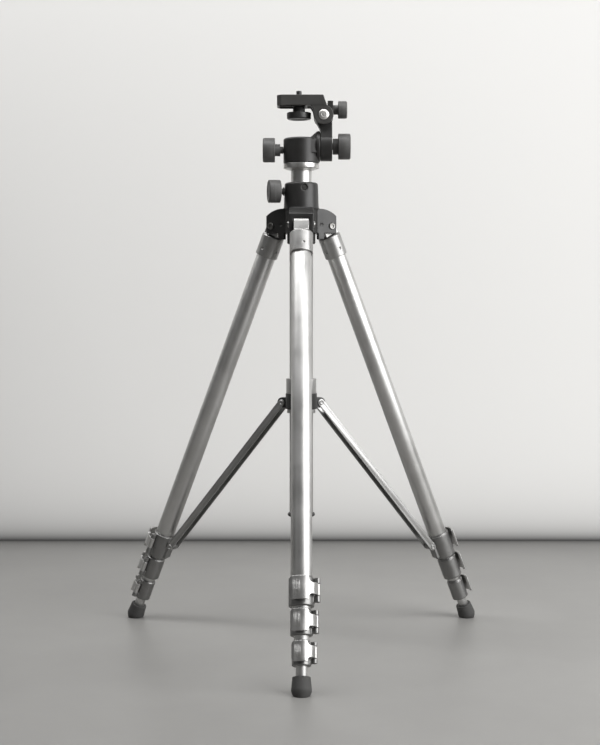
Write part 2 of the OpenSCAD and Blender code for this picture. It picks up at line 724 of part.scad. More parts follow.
module through_x() {
    translate([-far / 2, 0, 0]) rotate([90, 0, 90]) linear_extrude(far) children();
}

// The arm as it shows from the front
module arm_side() {
    reach = flip_x - arm_x;
    block = 4.6;
    through_y() translate([0, -arm_r]) square([arm_t, arm_r + flip_up]);
    through_y() polygon([
        [0.5, flip_up - 16.4], [0, flip_up - 16.4], [reach - flip_r * 0.8, flip_up - flip_r * 0.6],
        [reach, flip_up], [arm_t - 1, flip_up - 2]
    ]);
    intersection() {
        translate([reach, 0, flip_up]) bar_y(flip_r, -far, far);
        translate([arm_t - far, -far, 0]) cube([far, 2 * far, far]);
    }
    through_y() translate([reach + block, flip_up]) square([arm_t - reach - block + 1, flip_r + 5.4]);
}

// The arm as it shows from the side
module arm_outline() {
    through_x() circle(r = arm_r);
    through_x() translate([-barrel_half, 0]) square([2 * barrel_half, flip_up + platform_up + 5.8]);
    through_x() polygon([[-arm_r, 0], [arm_r, 0], [barrel_half, flip_up * 0.66], [-barrel_half, flip_up * 0.66]]);
}

module tilt_arm() {
    slit = 1.4;
    color([0.15, 0.15, 0.15]) on_axis(tilt_z) translate([arm_x, 0, 0]) difference() {
        intersection() {
            union() arm_side();
            union() arm_outline();
        }
        bar_x(4 + running, -1, far);
        translate([flip_x - arm_x, 0, flip_up]) {
            bar_y(flip_pin_d / 2 + running, -far / 2, far / 2);
            translate([-slit / 2, -far / 2, 0]) cube([slit, far, flip_r + 3]);
            translate([0, 0, flip_screw_up]) bar_x(2.5 + pin_gap, -7.6, far);
        }
    }
}

module tilt_lock_knob() {
    neck_x = arm_x + arm_t + 0.8;
    grip_x = neck_x + 6.3;
    color([0.13, 0.13, 0.13]) on_axis(tilt_z) union() {
        translate([grip_x, 0, 0]) rotate([0, 90, 0]) grip(tilt_knob);
        bar_x(9.3, neck_x, grip_x + 1);
        bar_x(4, axle_r + 1, grip_x);
    }
}

// Camera platform
module platform_outline() {
    corner = 4.6;
    right = flip_x + 3.7;
    w = platform_w / 2;
    polygon([
        [platform_left + corner, -w], [right, -w], [right, w], [platform_left + corner, w],
        [platform_left, w - corner], [platform_left, -w + corner]
    ]);
}

module platform_body() {
    right = flip_x + 3.7;
    slant = 4.2;
    notch_x = flip_x - 18.9;
    boss_r = 8;
    difference() {
        translate([0, 0, platform_z]) linear_extrude(platform_t) platform_outline();
        // Slanted end over the hinge
        translate([0, far / 2, platform_z]) rotate([90, 0, 0]) linear_extrude(far)
            polygon([[right, 0], [right + 9, 0], [right + 9, platform_t + 1], [right - slant, platform_t + 1], [right - slant, platform_t]]);
        // Fork that leaves room for the arm and its knob
        translate([notch_x, -barrel_half - side_gap, platform_z - 1]) cube([far, 2 * (barrel_half + side_gap), far]);
        // Hollow underside around the camera screw's boss
        difference() {
            translate([0, 0, platform_z - 1]) linear_extrude(platform_t - platform_wall + 1) intersection() {
                platform_outline();
                translate([platform_left + platform_wall, -platform_w / 2 + platform_wall])
                    square([notch_x - platform_wall - platform_left - platform_wall, platform_w - 2 * platform_wall]);
            }
            translate([camera_x, 0, platform_z - 2]) cylinder(r = boss_r, h = far);
            translate([platform_left, -1, platform_z - 2]) cube([notch_x - platform_left, 2, far]);
        }
    }
}

module platform() {
    color([0.2, 0.2, 0.2]) on_axis() difference() {
        union() {
            platform_body();
            for (side = [-1, 1]) translate([flip_x, side > 0 ? cheek_in : -cheek_in - cheek_t, flip_z]) {
                bar_y(flip_r, 0, cheek_t);
                translate([0, cheek_t, 0]) rotate([90, 0, 0]) linear_extrude(cheek_t)
                    polygon([[-flip_r, 0], [flip_r, 0], [3.7, platform_up], [3.7, platform_up + 1], [-15, platform_up + 1], [-15, platform_up], [-flip_r - 1, 6]]);
            }
        }
        translate([flip_x, 0, flip_z]) bar_y(flip_pin_d / 2 + pin_gap, -far / 2, far / 2);
        translate([camera_x, 0, platform_z - 1]) cylinder(r = camera_screw_d / 2 + running, h = far);
    }
}

module side_hinge_pin() {
    reach = cheek_in + cheek_t;
    color("silver") on_axis() translate([flip_x, 0, flip_z]) {
        bar_y(flip_pin_d / 2, -reach - 0.2, reach + 0.2);
        for (side = [-1, 1]) rotate([side * 90, 0, 0]) translate([0, 0, reach + 0.05])
            rotate_extrude() polygon([
                [0, 0], [5.9, 0], [5.9, 0.5], [5.1, 1.1], [3.9, 1.6], [2.9, 1.8], [2.5, 1.3], [1.5, 1.3], [1.2, 1.7], [0, 1.7]
            ]);
    }
}

module side_lock_knob() {
    neck_x = arm_x + arm_t + 1.2;
    grip_x = neck_x + 5.8;
    color([0.13, 0.13, 0.13]) on_axis(flip_z + flip_screw_up) union() {
        translate([grip_x, 0, 0]) rotate([0, 90, 0]) grip(flip_knob);
        bar_x(5.5, neck_x, grip_x + 1);
        bar_x(2.5, flip_x - 7, grip_x);
    }
}

module camera_screw() {
    neck_gap = 0.3;
    screw_relief = 0.3;
    color([0.1, 0.1, 0.1]) on_axis() translate([camera_x, 0, 0]) union() {
        translate([0, 0, platform_z - 7]) cylinder(d = camera_screw_d - 0.9, h = 7.5 + platform_t);
        translate([0, 0, platform_z + platform_t + screw_relief])
            cylinder(d = camera_screw_d, h = camera_screw_out - screw_relief);
        translate([0, 0, platform_z - 7]) cylinder(r = 7, h = 7 - neck_gap);
        translate([0, 0, platform_z - 7]) rotate([180, 0, 0]) grip(camera_knob);
    }
}

crown();
leg_pivot_bolts();
column_bush();
collar_set_screw();
crown_nut();
guide_tube();
guide_tube_end();
column_tube();
head_stud();
column_lock_knob();
brace_sleeve();
brace_lug_ring();
pan_base();
pan_housing();
pan_lock_knob();
tilt_arm();
tilt_lock_knob();
platform();
side_hinge_pin();
side_lock_knob();
camera_screw();
leg_socket(FRONT);  // front_leg_socket
upper_tube(FRONT);  // front_upper_tube
lock_collar(FRONT, 0);  // front_lock_1_collar
lock_lever(FRONT, 0);  // front_lock_1_lever
inner_tube(FRONT, 1);  // front_second_tube
lock_collar(FRONT, 1);  // front_lock_2_collar
lock_lever(FRONT, 1);  // front_lock_2_lever
inner_tube(FRONT, 2);  // front_third_tube
lock_collar(FRONT, 2);  // front_lock_3_collar
lock_lever(FRONT, 2);  // front_lock_3_lever
inner_tube(FRONT, 3);  // front_lowest_tube
foot(FRONT);  // front_foot
strut(FRONT);  // front_strut
leg_socket(RIGHT);  // right_leg_socket
upper_tube(RIGHT);  // right_upper_tube
lock_collar(RIGHT, 0);  // right_lock_1_collar
lock_lever(RIGHT, 0);  // right_lock_1_lever
inner_tube(RIGHT, 1);  // right_second_tube
lock_collar(RIGHT, 1);  // right_lock_2_collar
lock_lever(RIGHT, 1);  // right_lock_2_lever
inner_tube(RIGHT, 2);  // right_third_tube
lock_collar(RIGHT, 2);  // right_lock_3_collar
lock_lever(RIGHT, 2);  // right_lock_3_lever
inner_tube(RIGHT, 3);  // right_lowest_tube
foot(RIGHT);  // right_foot
strut(RIGHT);  // right_strut
leg_socket(LEFT);  // left_leg_socket
upper_tube(LEFT);  // left_upper_tube
lock_collar(LEFT, 0);  // left_lock_1_collar
lock_lever(LEFT, 0);  // left_lock_1_lever
inner_tube(LEFT, 1);  // left_second_tube
lock_collar(LEFT, 1);  // left_lock_2_collar
lock_lever(LEFT, 1);  // left_lock_2_lever
inner_tube(LEFT, 2);  // left_third_tube
lock_collar(LEFT, 2);  // left_lock_3_collar
lock_lever(LEFT, 2);  // left_lock_3_lever
inner_tube(LEFT, 3);  // left_lowest_tube
foot(LEFT);  // left_foot
strut(LEFT);  // left_strut
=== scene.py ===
import json
import math

import bmesh
import bpy
from mathutils import Matrix, Vector


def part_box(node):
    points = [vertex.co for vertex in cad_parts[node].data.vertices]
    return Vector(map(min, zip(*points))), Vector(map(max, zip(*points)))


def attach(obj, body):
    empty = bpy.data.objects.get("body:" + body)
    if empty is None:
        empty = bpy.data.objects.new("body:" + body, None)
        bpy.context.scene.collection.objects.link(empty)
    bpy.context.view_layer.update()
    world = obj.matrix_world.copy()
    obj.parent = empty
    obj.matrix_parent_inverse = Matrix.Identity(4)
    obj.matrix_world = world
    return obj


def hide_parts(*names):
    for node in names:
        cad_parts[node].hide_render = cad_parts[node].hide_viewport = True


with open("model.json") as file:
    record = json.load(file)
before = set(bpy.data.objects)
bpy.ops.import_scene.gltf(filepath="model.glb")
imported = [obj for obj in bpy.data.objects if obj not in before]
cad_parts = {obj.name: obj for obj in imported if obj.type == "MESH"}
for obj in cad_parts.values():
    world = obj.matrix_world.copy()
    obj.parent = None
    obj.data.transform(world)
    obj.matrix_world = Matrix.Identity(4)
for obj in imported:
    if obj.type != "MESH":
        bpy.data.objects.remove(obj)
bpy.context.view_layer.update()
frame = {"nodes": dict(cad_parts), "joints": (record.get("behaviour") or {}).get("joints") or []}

# ---------------------------------------------------------------------------------------------
# Guide tube and centre column. Both are drawn aluminium tube, anodised satin, with fine lines
# along their length from the die and a few dark pits from years of handling.
# ---------------------------------------------------------------------------------------------
nodes = frame["nodes"]
joints = {joint["name"]: joint for joint in frame["joints"]}
MM = 0.001


def new_finish(name):
    """An empty material: its node tree, its shader, and the coordinates of the piece."""
    finish = bpy.data.materials.new(name)
    finish.use_nodes = True
    tree = finish.node_tree
    place = tree.nodes.new("ShaderNodeTexCoord").outputs["Object"]
    return finish, tree, tree.nodes["Principled BSDF"], place


def wire(tree, kind, inputs, output=0, **settings):
    """Adds a node, sets or links its inputs, and gives back one of its outputs."""
    node = tree.nodes.new(kind)
    for key, value in settings.items():
        setattr(node, key, value)
    for key, value in inputs.items():
        if isinstance(value, bpy.types.NodeSocket):
            tree.links.new(value, node.inputs[key])
        else:
            node.inputs[key].default_value = value
    return node.outputs[output]


def ramp(tree, value, low, high, out_low=0.0, out_high=1.0):
    """Maps a value from one range to another and clamps it."""
    return wire(tree, "ShaderNodeMapRange", {
        "Value": value, "From Min": low, "From Max": high, "To Min": out_low, "To Max": out_high})


def blend_colour(tree, factor, first, second):
    mixed = tree.nodes.new("ShaderNodeMix")
    mixed.data_type = "RGBA"
    for socket, value in ((0, factor), (6, first), (7, second)):
        if isinstance(value, bpy.types.NodeSocket):
            tree.links.new(value, mixed.inputs[socket])
        elif socket:
            mixed.inputs[socket].default_value = (*value, 1.0)
        else:
            mixed.inputs[socket].default_value = value
    return mixed.outputs[2]


def mottle(tree, place, scale, detail=3.0, roughness=0.55):
    return wire(tree, "ShaderNodeTexNoise", {
        "Vector": place, "Scale": scale, "Detail": detail, "Roughness": roughness})


def relief(tree, shader, height, depth, strength=1.0):
    """Feeds a height into the shader's normal. The depth is in metres."""
    normal = wire(tree, "ShaderNodeBump", {"Height": height, "Distance": depth, "Strength": strength})
    tree.links.new(normal, shader.inputs["Normal"])
    return normal


def drawn_aluminium(name, azimuth=0.0, lean=0.0, shade=0.62):
    """Satin tube whose die lines run along an axis leaning out at the azimuth."""
    finish, tree, shader, place = new_finish(name)
    upright = Matrix.Rotation(math.radians(lean), 3, "Y") @ Matrix.Rotation(-math.radians(azimuth), 3, "Z")
    turned = wire(tree, "ShaderNodeMapping", {"Vector": place, "Rotation": upright.to_euler("XYZ")})
    along = wire(tree, "ShaderNodeMapping", {"Vector": turned, "Scale": (1500.0, 1500.0, 9.0)})
    lines = mottle(tree, along, 1.0, 2.0)
    clouds = mottle(tree, turned, 32.0, 4.0)
    pits = ramp(tree, mottle(tree, turned, 520.0, 2.0), 0.72, 0.8)
    smears = ramp(tree, clouds, 0.35, 0.7)
    metal = blend_colour(tree, smears, (shade * 0.86, shade * 0.855, shade * 0.84), (shade, shade * 0.995, shade * 0.98))
    metal = blend_colour(tree, pits, metal, (0.3, 0.295, 0.285))
    tree.links.new(metal, shader.inputs["Base Color"])
    tree.links.new(ramp(tree, clouds, 0.3, 0.75, 0.38, 0.5), shader.inputs["Roughness"])
    shader.inputs["Metallic"].default_value = 1.0
    relief(tree, shader, lines, 0.004 * MM, 0.6)
    return finish


def coat(piece, finish):
    """Gives a mesh one material all over."""
    piece.data.materials.clear()
    piece.data.materials.append(finish)
    for face in piece.data.polygons:
        face.material_index = 0


def merged_copy(name, node):
    """A copy of a CAD node with its triangles joined into one closed skin."""
    mesh = nodes[node].data.copy()
    mesh.name = name
    shell = bmesh.new()
    shell.from_mesh(mesh)
    bmesh.ops.remove_doubles(shell, verts=shell.verts, dist=2e-6)
    bmesh.ops.dissolve_limit(shell, angle_limit=math.radians(0.6), verts=shell.verts, edges=shell.edges)
    shell.to_mesh(mesh)
    shell.free()
    if "custom_normal" in mesh.attributes:
        mesh.attributes.remove(mesh.attributes["custom_normal"])
    piece = bpy.data.objects.new(name, mesh)
    bpy.context.collection.objects.link(piece)
    return piece


def settle(piece):
    """Turns a piece with modifiers into a plain mesh."""
    evaluated = piece.evaluated_get(bpy.context.evaluated_depsgraph_get())
    mesh = bpy.data.meshes.new_from_object(evaluated)
    piece.modifiers.clear()
    piece.data = mesh
    mesh.name = piece.name


def smooth_over(piece, angle):
    """Smooth shading, with the edges sharper than the angle left crisp."""
    piece.data.polygons.foreach_set("use_smooth", [True] * len(piece.data.polygons))
    piece.data.set_sharp_from_angle(angle=math.radians(angle))


def turned_part(name, node, edge=0.35 * MM):
    """A turned or extruded part: the CAD shape with its corners broken by a small round."""
    piece = merged_copy(name, node)
    rounding = piece.modifiers.new("corners", "BEVEL")
    rounding.width = edge
    rounding.segments = 2
    rounding.limit_method = "ANGLE"
    rounding.angle_limit = math.radians(38)
    settle(piece)
    smooth_over(piece, 32)
    return piece


def install(piece, body, node, finish):
    """Hangs a finished piece on its body in place of its CAD node."""
    coat(piece, finish)
    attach(piece, body)
    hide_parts(node)
    return piece


column_satin = drawn_aluminium("column_satin")
install(turned_part("guide_tube_drawn", "guide_tube"), "crown", "guide_tube", column_satin)
install(turned_part("column_tube_drawn", "column_tube"), "column", "column_tube", column_satin)

# ---------------------------------------------------------------------------------------------
# Crown. A pressure casting in light alloy: hub, collar and six ears in one, sand-blasted and
# stoved in semi-matte black. The enamel is rubbed through to grey in specks, and its edges are lightened grey both as
# worn enamel and as a painted highlight.
# ---------------------------------------------------------------------------------------------


def stoved_black(name, dark=0.016, worn_and_highlight_grey=0.15, grain=1500.0):
    """Black stoving enamel over a cast skin, with specks of wear, and edges lightened both as worn enamel and as a
    painted highlight.
    """
    finish, tree, shader, place = new_finish(name)
    clouds = mottle(tree, place, 46.0, 4.0)
    skin = mottle(tree, place, grain, 2.0, 0.6)
    specks = ramp(tree, mottle(tree, place, 620.0, 3.0, 0.62), 0.68, 0.78)
    # The edges, found by comparing the bevelled normal with the flat one, are lightened grey: partly worn-through
    # enamel, partly a painted highlight along them.
    rounded = wire(tree, "ShaderNodeBevel", {"Radius": 0.9 * MM}, samples=4)
    flat = wire(tree, "ShaderNodeNewGeometry", {}, "Normal")
    facing = wire(tree, "ShaderNodeVectorMath", {0: rounded, 1: flat}, "Value", operation="DOT_PRODUCT")
    edge = ramp(tree, facing, 0.985, 0.9)
    edge_wear_and_highlight = wire(tree, "ShaderNodeMath", {0: edge, 1: ramp(tree, clouds, 0.42, 0.68)}, operation="MULTIPLY")
    wear_and_edge_highlight = wire(tree, "ShaderNodeMath", {0: edge_wear_and_highlight, 1: specks}, operation="MAXIMUM")
    enamel = blend_colour(tree, clouds, (dark * 0.8, dark * 0.79, dark * 0.76), (dark * 1.35, dark * 1.31, dark * 1.25))
    # The worn grey goes in at the specks and at the edges, where it is also a painted highlight.
    tree.links.new(blend_colour(tree, wear_and_edge_highlight, enamel, (worn_and_highlight_grey, worn_and_highlight_grey * 0.97, worn_and_highlight_grey * 0.92)), shader.inputs["Base Color"])
    tree.links.new(ramp(tree, clouds, 0.3, 0.7, 0.36, 0.5), shader.inputs["Roughness"])
    tree.links.new(ramp(tree, wear_and_edge_highlight, 0.0, 1.0, 0.0, 0.45), shader.inputs["Metallic"])
    relief(tree, shader, skin, 0.03 * MM, 0.55)
    return finish


def cast_part(name, node, voxel, passes=3, keep=0.5):
    """A casting: the CAD shape with every corner softened as a mould and a blast leave it."""
    piece = merged_copy(name, node)
    skin = piece.modifiers.new("skin", "REMESH")
    skin.mode = "VOXEL"
    skin.voxel_size = voxel
    soften = piece.modifiers.new("soften", "CORRECTIVE_SMOOTH")
    soften.factor = 0.5
    soften.iterations = passes
    soften.use_only_smooth = True
    soften.rest_source = "ORCO"
    thin = piece.modifiers.new("thin", "DECIMATE")
    thin.ratio = keep
    settle(piece)
    smooth_over(piece, 50)
    return piece


black_enamel = stoved_black("black_enamel")
install(cast_part("crown_casting", "crown", 0.6 * MM, 2, 0.45), "crown", "crown", black_enamel)

# ---------------------------------------------------------------------------------------------
# Bolts, screws and pins. Turned steel, nickel plated, with the rings of the lathe on their heads.
# They stay as the frame gives them; only the collar bush beside them is a white moulding.
# ---------------------------------------------------------------------------------------------


def nickelled(name, shade=0.6, rough=0.26):
    finish, tree, shader, place = new_finish(name)
    clouds = mottle(tree, place, 90.0, 4.0)
    grain = mottle(tree, place, 2600.0, 2.0)
    tarnish = ramp(tree, clouds, 0.4, 0.72)
    metal = blend_colour(tree, tarnish, (shade, shade * 0.99, shade * 0.97), (shade * 0.55, shade * 0.54, shade * 0.51))
    tree.links.new(metal, shader.inputs["Base Color"])
    tree.links.new(ramp(tree, clouds, 0.3, 0.75, rough, rough + 0.16), shader.inputs["Roughness"])
    shader.inputs["Metallic"].default_value = 1.0
    relief(tree, shader, grain, 0.004 * MM, 0.5)
    return finish


def moulded(name, shade, rough=0.5, grain=1300.0, depth=0.02):
    """A plastic moulding with a lightly sparked mould surface."""
    finish, tree, shader, place = new_finish(name)
    clouds = mottle(tree, place, 60.0, 4.0)
    skin = mottle(tree, place, grain, 2.0, 0.6)
    dust = ramp(tree, mottle(tree, place, 420.0, 3.0, 0.6), 0.68, 0.76)
    body = blend_colour(tree, clouds, (shade * 0.82, shade * 0.81, shade * 0.79), (shade * 1.18, shade * 1.16, shade * 1.12))
    tree.links.new(blend_colour(tree, dust, body, (shade * 2.4 + 0.02,) * 3), shader.inputs["Base Color"])
    tree.links.new(ramp(tree, clouds, 0.3, 0.72, rough - 0.07, rough + 0.08), shader.inputs["Roughness"])
    relief(tree, shader, skin, depth * MM, 0.6)
    return finish


burnished = nickelled("burnished_steel", 0.3, 0.3)
for node, finish in (("leg_pivot_bolts", burnished), ("collar_set_screw", nickelled("black_steel", 0.07, 0.4)),
                     ("head_stud", nickelled("nickel_plate"))):
    coat(nodes[node], finish)
coat(nodes["side_hinge_pin"], nickelled("pin_nickel", 0.82, 0.34))
bush_white = moulded("bush_nylon", 0.6, 0.45)
coat(nodes["column_bush"], bush_white)

# ---------------------------------------------------------------------------------------------
# Crown nut and the end ring of the guide tube. Black mouldings: the nut is pressed up under the
# crown around the tube, and the ring finishes the tube's cut end with a rolled bead.
# ---------------------------------------------------------------------------------------------
black_moulding = moulded("black_moulding", 0.022, 0.42)
install(turned_part("crown_nut_moulded", "crown_nut", 0.5 * MM), "crown", "crown_nut", black_moulding)
coat(nodes["guide_tube_end"], black_moulding)

# ---------------------------------------------------------------------------------------------
# Lock knobs. Thermoset mouldings on steel screws, dark grey where hands have dulled the black.
# Each rim has fine flutes to grip, pressed in a ring around its edge.
# ---------------------------------------------------------------------------------------------


def flute_tree():
    """Geometry nodes: thin bars set side by side around a circle in the XY plane."""
    tree = bpy.data.node_groups.new("rim_flutes", "GeometryNodeTree")
    face = tree.interface
    face.new_socket("Geometry", in_out="INPUT", socket_type="NodeSocketGeometry")
    face.new_socket("Geometry", in_out="OUTPUT", socket_type="NodeSocketGeometry")
    sizes = {}
    for label, kind in (("Flutes", "NodeSocketInt"), ("Ring radius", "NodeSocketFloat"),
                        ("Flute radius", "NodeSocketFloat"), ("Flute length", "NodeSocketFloat"),
                        ("Finish", "NodeSocketMaterial")):
        sizes[label] = face.new_socket(label, in_out="INPUT", socket_type=kind).identifier
    given = tree.nodes.new("NodeGroupInput").outputs
    ring = wire(tree, "GeometryNodeMeshCircle", {"Vertices": given["Flutes"], "Radius": given["Ring radius"]})
    bar = wire(tree, "GeometryNodeMeshCylinder", {
        "Vertices": 10, "Radius": given["Flute radius"], "Depth": given["Flute length"]})
    set_out = wire(tree, "GeometryNodeInstanceOnPoints", {"Points": ring, "Instance": bar})
    solid = wire(tree, "GeometryNodeRealizeInstances", {"Geometry": set_out})
    smooth = wire(tree, "GeometryNodeSetShadeSmooth", {"Geometry": solid})
    done = wire(tree, "GeometryNodeSetMaterial", {"Geometry": smooth, "Material": given["Finish"]})
    tree.links.new(done, tree.nodes.new("NodeGroupOutput").inputs[0])
    return tree, sizes


def grown(name, tree, sizes, values, placing):
    """Runs a geometry tree, keeps the result as a plain mesh and moves it to its place."""
    seed = bpy.data.meshes.new(name)
    piece = bpy.data.objects.new(name, seed)
    bpy.context.collection.objects.link(piece)
    growth = piece.modifiers.new("growth", "NODES")
    growth.node_group = tree
    for label, value in values.items():
        growth[sizes[label]] = value
    settle(piece)
    piece.data.transform(placing)
    return piece


def facing(x, y, z, direction):
    """A placing with local Z along the direction."""
    turn = Vector(direction).to_track_quat("Z", "Y").to_matrix().to_4x4()
    return Matrix.Translation((x, y, z)) @ turn


knob_grey = moulded("knob_grey", 0.075, 0.47, 1100.0, 0.03)
rim_flutes, flute_sizes = flute_tree()
# name: CAD node, body, outward direction, rim radius, grip length
knobs = {
    "tilt_knob_grip": ("tilt_lock_knob", "tilt_knob", 1, 15.0, 14.2),
    "pan_knob_grip": ("pan_lock_knob", "pan_knob", -1, 14.2, 14.0),
    "column_knob_grip": ("column_lock_knob", "column_knob", -1, 13.25, 14.0),
    "side_knob_grip": ("side_lock_knob", "side_knob", 1, 10.1, 10.4),
}
for name, (node, body, side, radius, length) in knobs.items():
    install(turned_part(name, node, 0.7 * MM), body, node, knob_grey)
    low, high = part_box(node)
    outer = high[0] if side > 0 else low[0]
    middle = facing(outer - side * length / 2 * MM, (low[1] + high[1]) / 2, (low[2] + high[2]) / 2, (1, 0, 0))
    flutes = grown(name + "_flutes", rim_flutes, flute_sizes, {
        "Flutes": round(radius * 4.2), "Ring radius": (radius - 0.26) * MM, "Flute radius": 0.3 * MM,
        "Flute length": (length - 4.6) * MM, "Finish": knob_grey}, middle)
    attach(flutes, body)

# ---------------------------------------------------------------------------------------------
# Brace collar. A grey moulded sleeve slides on the guide tube, and a black cast ring on it
# carries the three lugs. The struts are rolled from aluminium strip and riveted at both ends.
# ---------------------------------------------------------------------------------------------


def die_cast(name, shade=0.5, rough=0.36):
    """Silver-grey metallic finish of the small castings."""
    finish, tree, shader, place = new_finish(name)
    clouds = mottle(tree, place, 70.0, 4.0)
    skin = mottle(tree, place, 1700.0, 2.0)
    specks = ramp(tree, mottle(tree, place, 380.0, 3.0, 0.6), 0.67, 0.74)
    body = blend_colour(tree, clouds, (shade * 0.78, shade * 0.775, shade * 0.76), (shade * 1.12, shade * 1.11, shade * 1.09))
    tree.links.new(blend_colour(tree, specks, body, (shade * 0.35,) * 3), shader.inputs["Base Color"])
    tree.links.new(ramp(tree, clouds, 0.3, 0.75, rough - 0.05, rough + 0.09), shader.inputs["Roughness"])
    shader.inputs["Metallic"].default_value = 0.9
    relief(tree, shader, skin, 0.016 * MM, 0.5)
    return finish


sleeve_silver = die_cast("sleeve_silver", 0.5, 0.4)
install(turned_part("brace_sleeve_moulded", "brace_sleeve", 0.5 * MM), "brace_collar", "brace_sleeve", sleeve_silver)
install(cast_part("brace_ring_casting", "brace_lug_ring", 0.4 * MM, 2, 0.5), "brace_collar", "brace_lug_ring", black_enamel)

LEGS = {"front": -90.0, "right": 30.0, "left": 150.0}
LEAN = 23.3
for leg, azimuth in LEGS.items():
    strip = drawn_aluminium(leg + "_strut_strip", azimuth, -41.2, 0.42)
    install(turned_part(leg + "_strut_rolled", leg + "_strut", 0.2 * MM), leg + "_strut", leg + "_strut", strip)

# ---------------------------------------------------------------------------------------------
# Legs. Four drawn tubes slide in one another under a cast socket. Each lock is a cast collar and
# a curved lever on a steel pin, with ribs near the lever's free end for the thumb.
# ---------------------------------------------------------------------------------------------


def rib_tree():
    """Geometry nodes: upright ribs spaced along an arc around Z, from a first angle on."""
    tree = bpy.data.node_groups.new("thumb_ribs", "GeometryNodeTree")
    face = tree.interface
    face.new_socket("Geometry", in_out="INPUT", socket_type="NodeSocketGeometry")
    face.new_socket("Geometry", in_out="OUTPUT", socket_type="NodeSocketGeometry")
    sizes = {}
    for label, kind in (("Ribs", "NodeSocketInt"), ("Arc radius", "NodeSocketFloat"),
                        ("First angle", "NodeSocketFloat"), ("Step angle", "NodeSocketFloat"),
                        ("Rib radius", "NodeSocketFloat"), ("Rib length", "NodeSocketFloat"),
                        ("Finish", "NodeSocketMaterial")):
        sizes[label] = face.new_socket(label, in_out="INPUT", socket_type=kind).identifier
    given = tree.nodes.new("NodeGroupInput").outputs
    row = wire(tree, "GeometryNodeMeshLine", {"Count": given["Ribs"]})
    index = wire(tree, "GeometryNodeInputIndex", {})
    turned = wire(tree, "ShaderNodeMath", {
        0: index, 1: given["Step angle"], 2: given["First angle"]}, operation="MULTIPLY_ADD")
    along = wire(tree, "ShaderNodeMath", {0: turned}, operation="COSINE")
    across = wire(tree, "ShaderNodeMath", {0: turned}, operation="SINE")
    unit = wire(tree, "ShaderNodeCombineXYZ", {"X": along, "Y": across})
    spot = wire(tree, "ShaderNodeVectorMath", {0: unit, "Scale": given["Arc radius"]}, operation="SCALE")
    placed = wire(tree, "GeometryNodeSetPosition", {"Geometry": row, "Position": spot})
    rib = wire(tree, "GeometryNodeMeshCylinder", {
        "Vertices": 12, "Radius": given["Rib radius"], "Depth": given["Rib length"]})
    set_out = wire(tree, "GeometryNodeInstanceOnPoints", {"Points": placed, "Instance": rib})
    solid = wire(tree, "GeometryNodeRealizeInstances", {"Geometry": set_out})
    smooth = wire(tree, "GeometryNodeSetShadeSmooth", {"Geometry": solid})
    done = wire(tree, "GeometryNodeSetMaterial", {"Geometry": smooth, "Material": given["Finish"]})
    tree.links.new(done, tree.nodes.new("NodeGroupOutput").inputs[0])
    return tree, sizes


thumb_ribs, rib_sizes = rib_tree()
collar_silver = die_cast("collar_silver", 0.24, 0.4)
lever_silver = die_cast("lever_silver", 0.5, 0.34)
socket_silver = die_cast("socket_silver", 0.4, 0.4)
PIVOT_R = 33.0 * MM
leg_top = joints["front_leg_fold"]["pos_m"]
column_y = leg_top[1] + PIVOT_R


def leg_frame(azimuth):
    """A leg's own frame: origin at its pivot, X outwards, Z up along the leg."""
    return (Matrix.Translation((0, column_y, 0)) @ Matrix.Rotation(math.radians(azimuth), 4, "Z")
            @ Matrix.Translation((PIVOT_R, 0, leg_top[2])) @ Matrix.Rotation(-math.radians(LEAN), 4, "Y"))


# lock: tube radius, height of the lever's plate, body that carries the lock
locks = {1: (11.25, 24.0, "leg"), 2: (9.5, 22.6, "section_2"), 3: (7.8, 20.5, "section_3")}
for leg, azimuth in LEGS.items():
    satin = drawn_aluminium(leg + "_leg_satin", azimuth, LEAN)
    for tube, body in (("upper_tube", "leg"), ("second_tube", "section_2"), ("third_tube", "section_3"), ("lowest_tube", "section_4")):
        node = leg + "_" + tube
        install(turned_part(node + "_drawn", node), leg + "_" + body, node, satin)
    socket = leg + "_leg_socket"
    install(cast_part(socket + "_casting", socket, 0.45 * MM, 2, 0.5), leg + "_leg", socket, socket_silver)
    for number, (tube_r, height, body) in locks.items():
        collar = f"{leg}_lock_{number}_collar"
        lever = f"{leg}_lock_{number}_lever"
        install(cast_part(collar + "_cast", collar, 0.4 * MM, 1, 0.5), leg + "_" + body, collar, collar_silver)
        lever_body = f"{leg}_lever_{number}"
        install(cast_part(lever + "_plate", lever, 0.35 * MM, 2, 0.5), lever_body, lever, lever_silver)
        hinge = leg_frame(azimuth).inverted() @ Vector(joints[f"{lever_body}_open"]["pos_m"])
        plate_r = tube_r + 2.0 + 2.2 + 2.6
        ribs = grown(lever + "_ribs", thumb_ribs, rib_sizes, {
            "Ribs": 5, "Arc radius": (plate_r - 0.15) * MM, "First angle": math.radians(-28),
            "Step angle": math.radians(5.5), "Rib radius": 0.34 * MM, "Rib length": (height - 7.5) * MM,
            "Finish": lever_silver}, leg_frame(azimuth) @ Matrix.Translation((1.8 * MM, 0, hinge.z)))
        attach(ribs, lever_body)

# ---------------------------------------------------------------------------------------------
# Feet. Moulded rubber, pushed over the ends of the lowest tubes, dull and dusty at the floor.
# ---------------------------------------------------------------------------------------------
foot_rubber = moulded("foot_rubber", 0.05, 0.72, 900.0, 0.05)
for leg in LEGS:
    install(turned_part(leg + "_foot_moulded", leg + "_foot", 0.6 * MM), leg + "_section_4", leg + "_foot", foot_rubber)

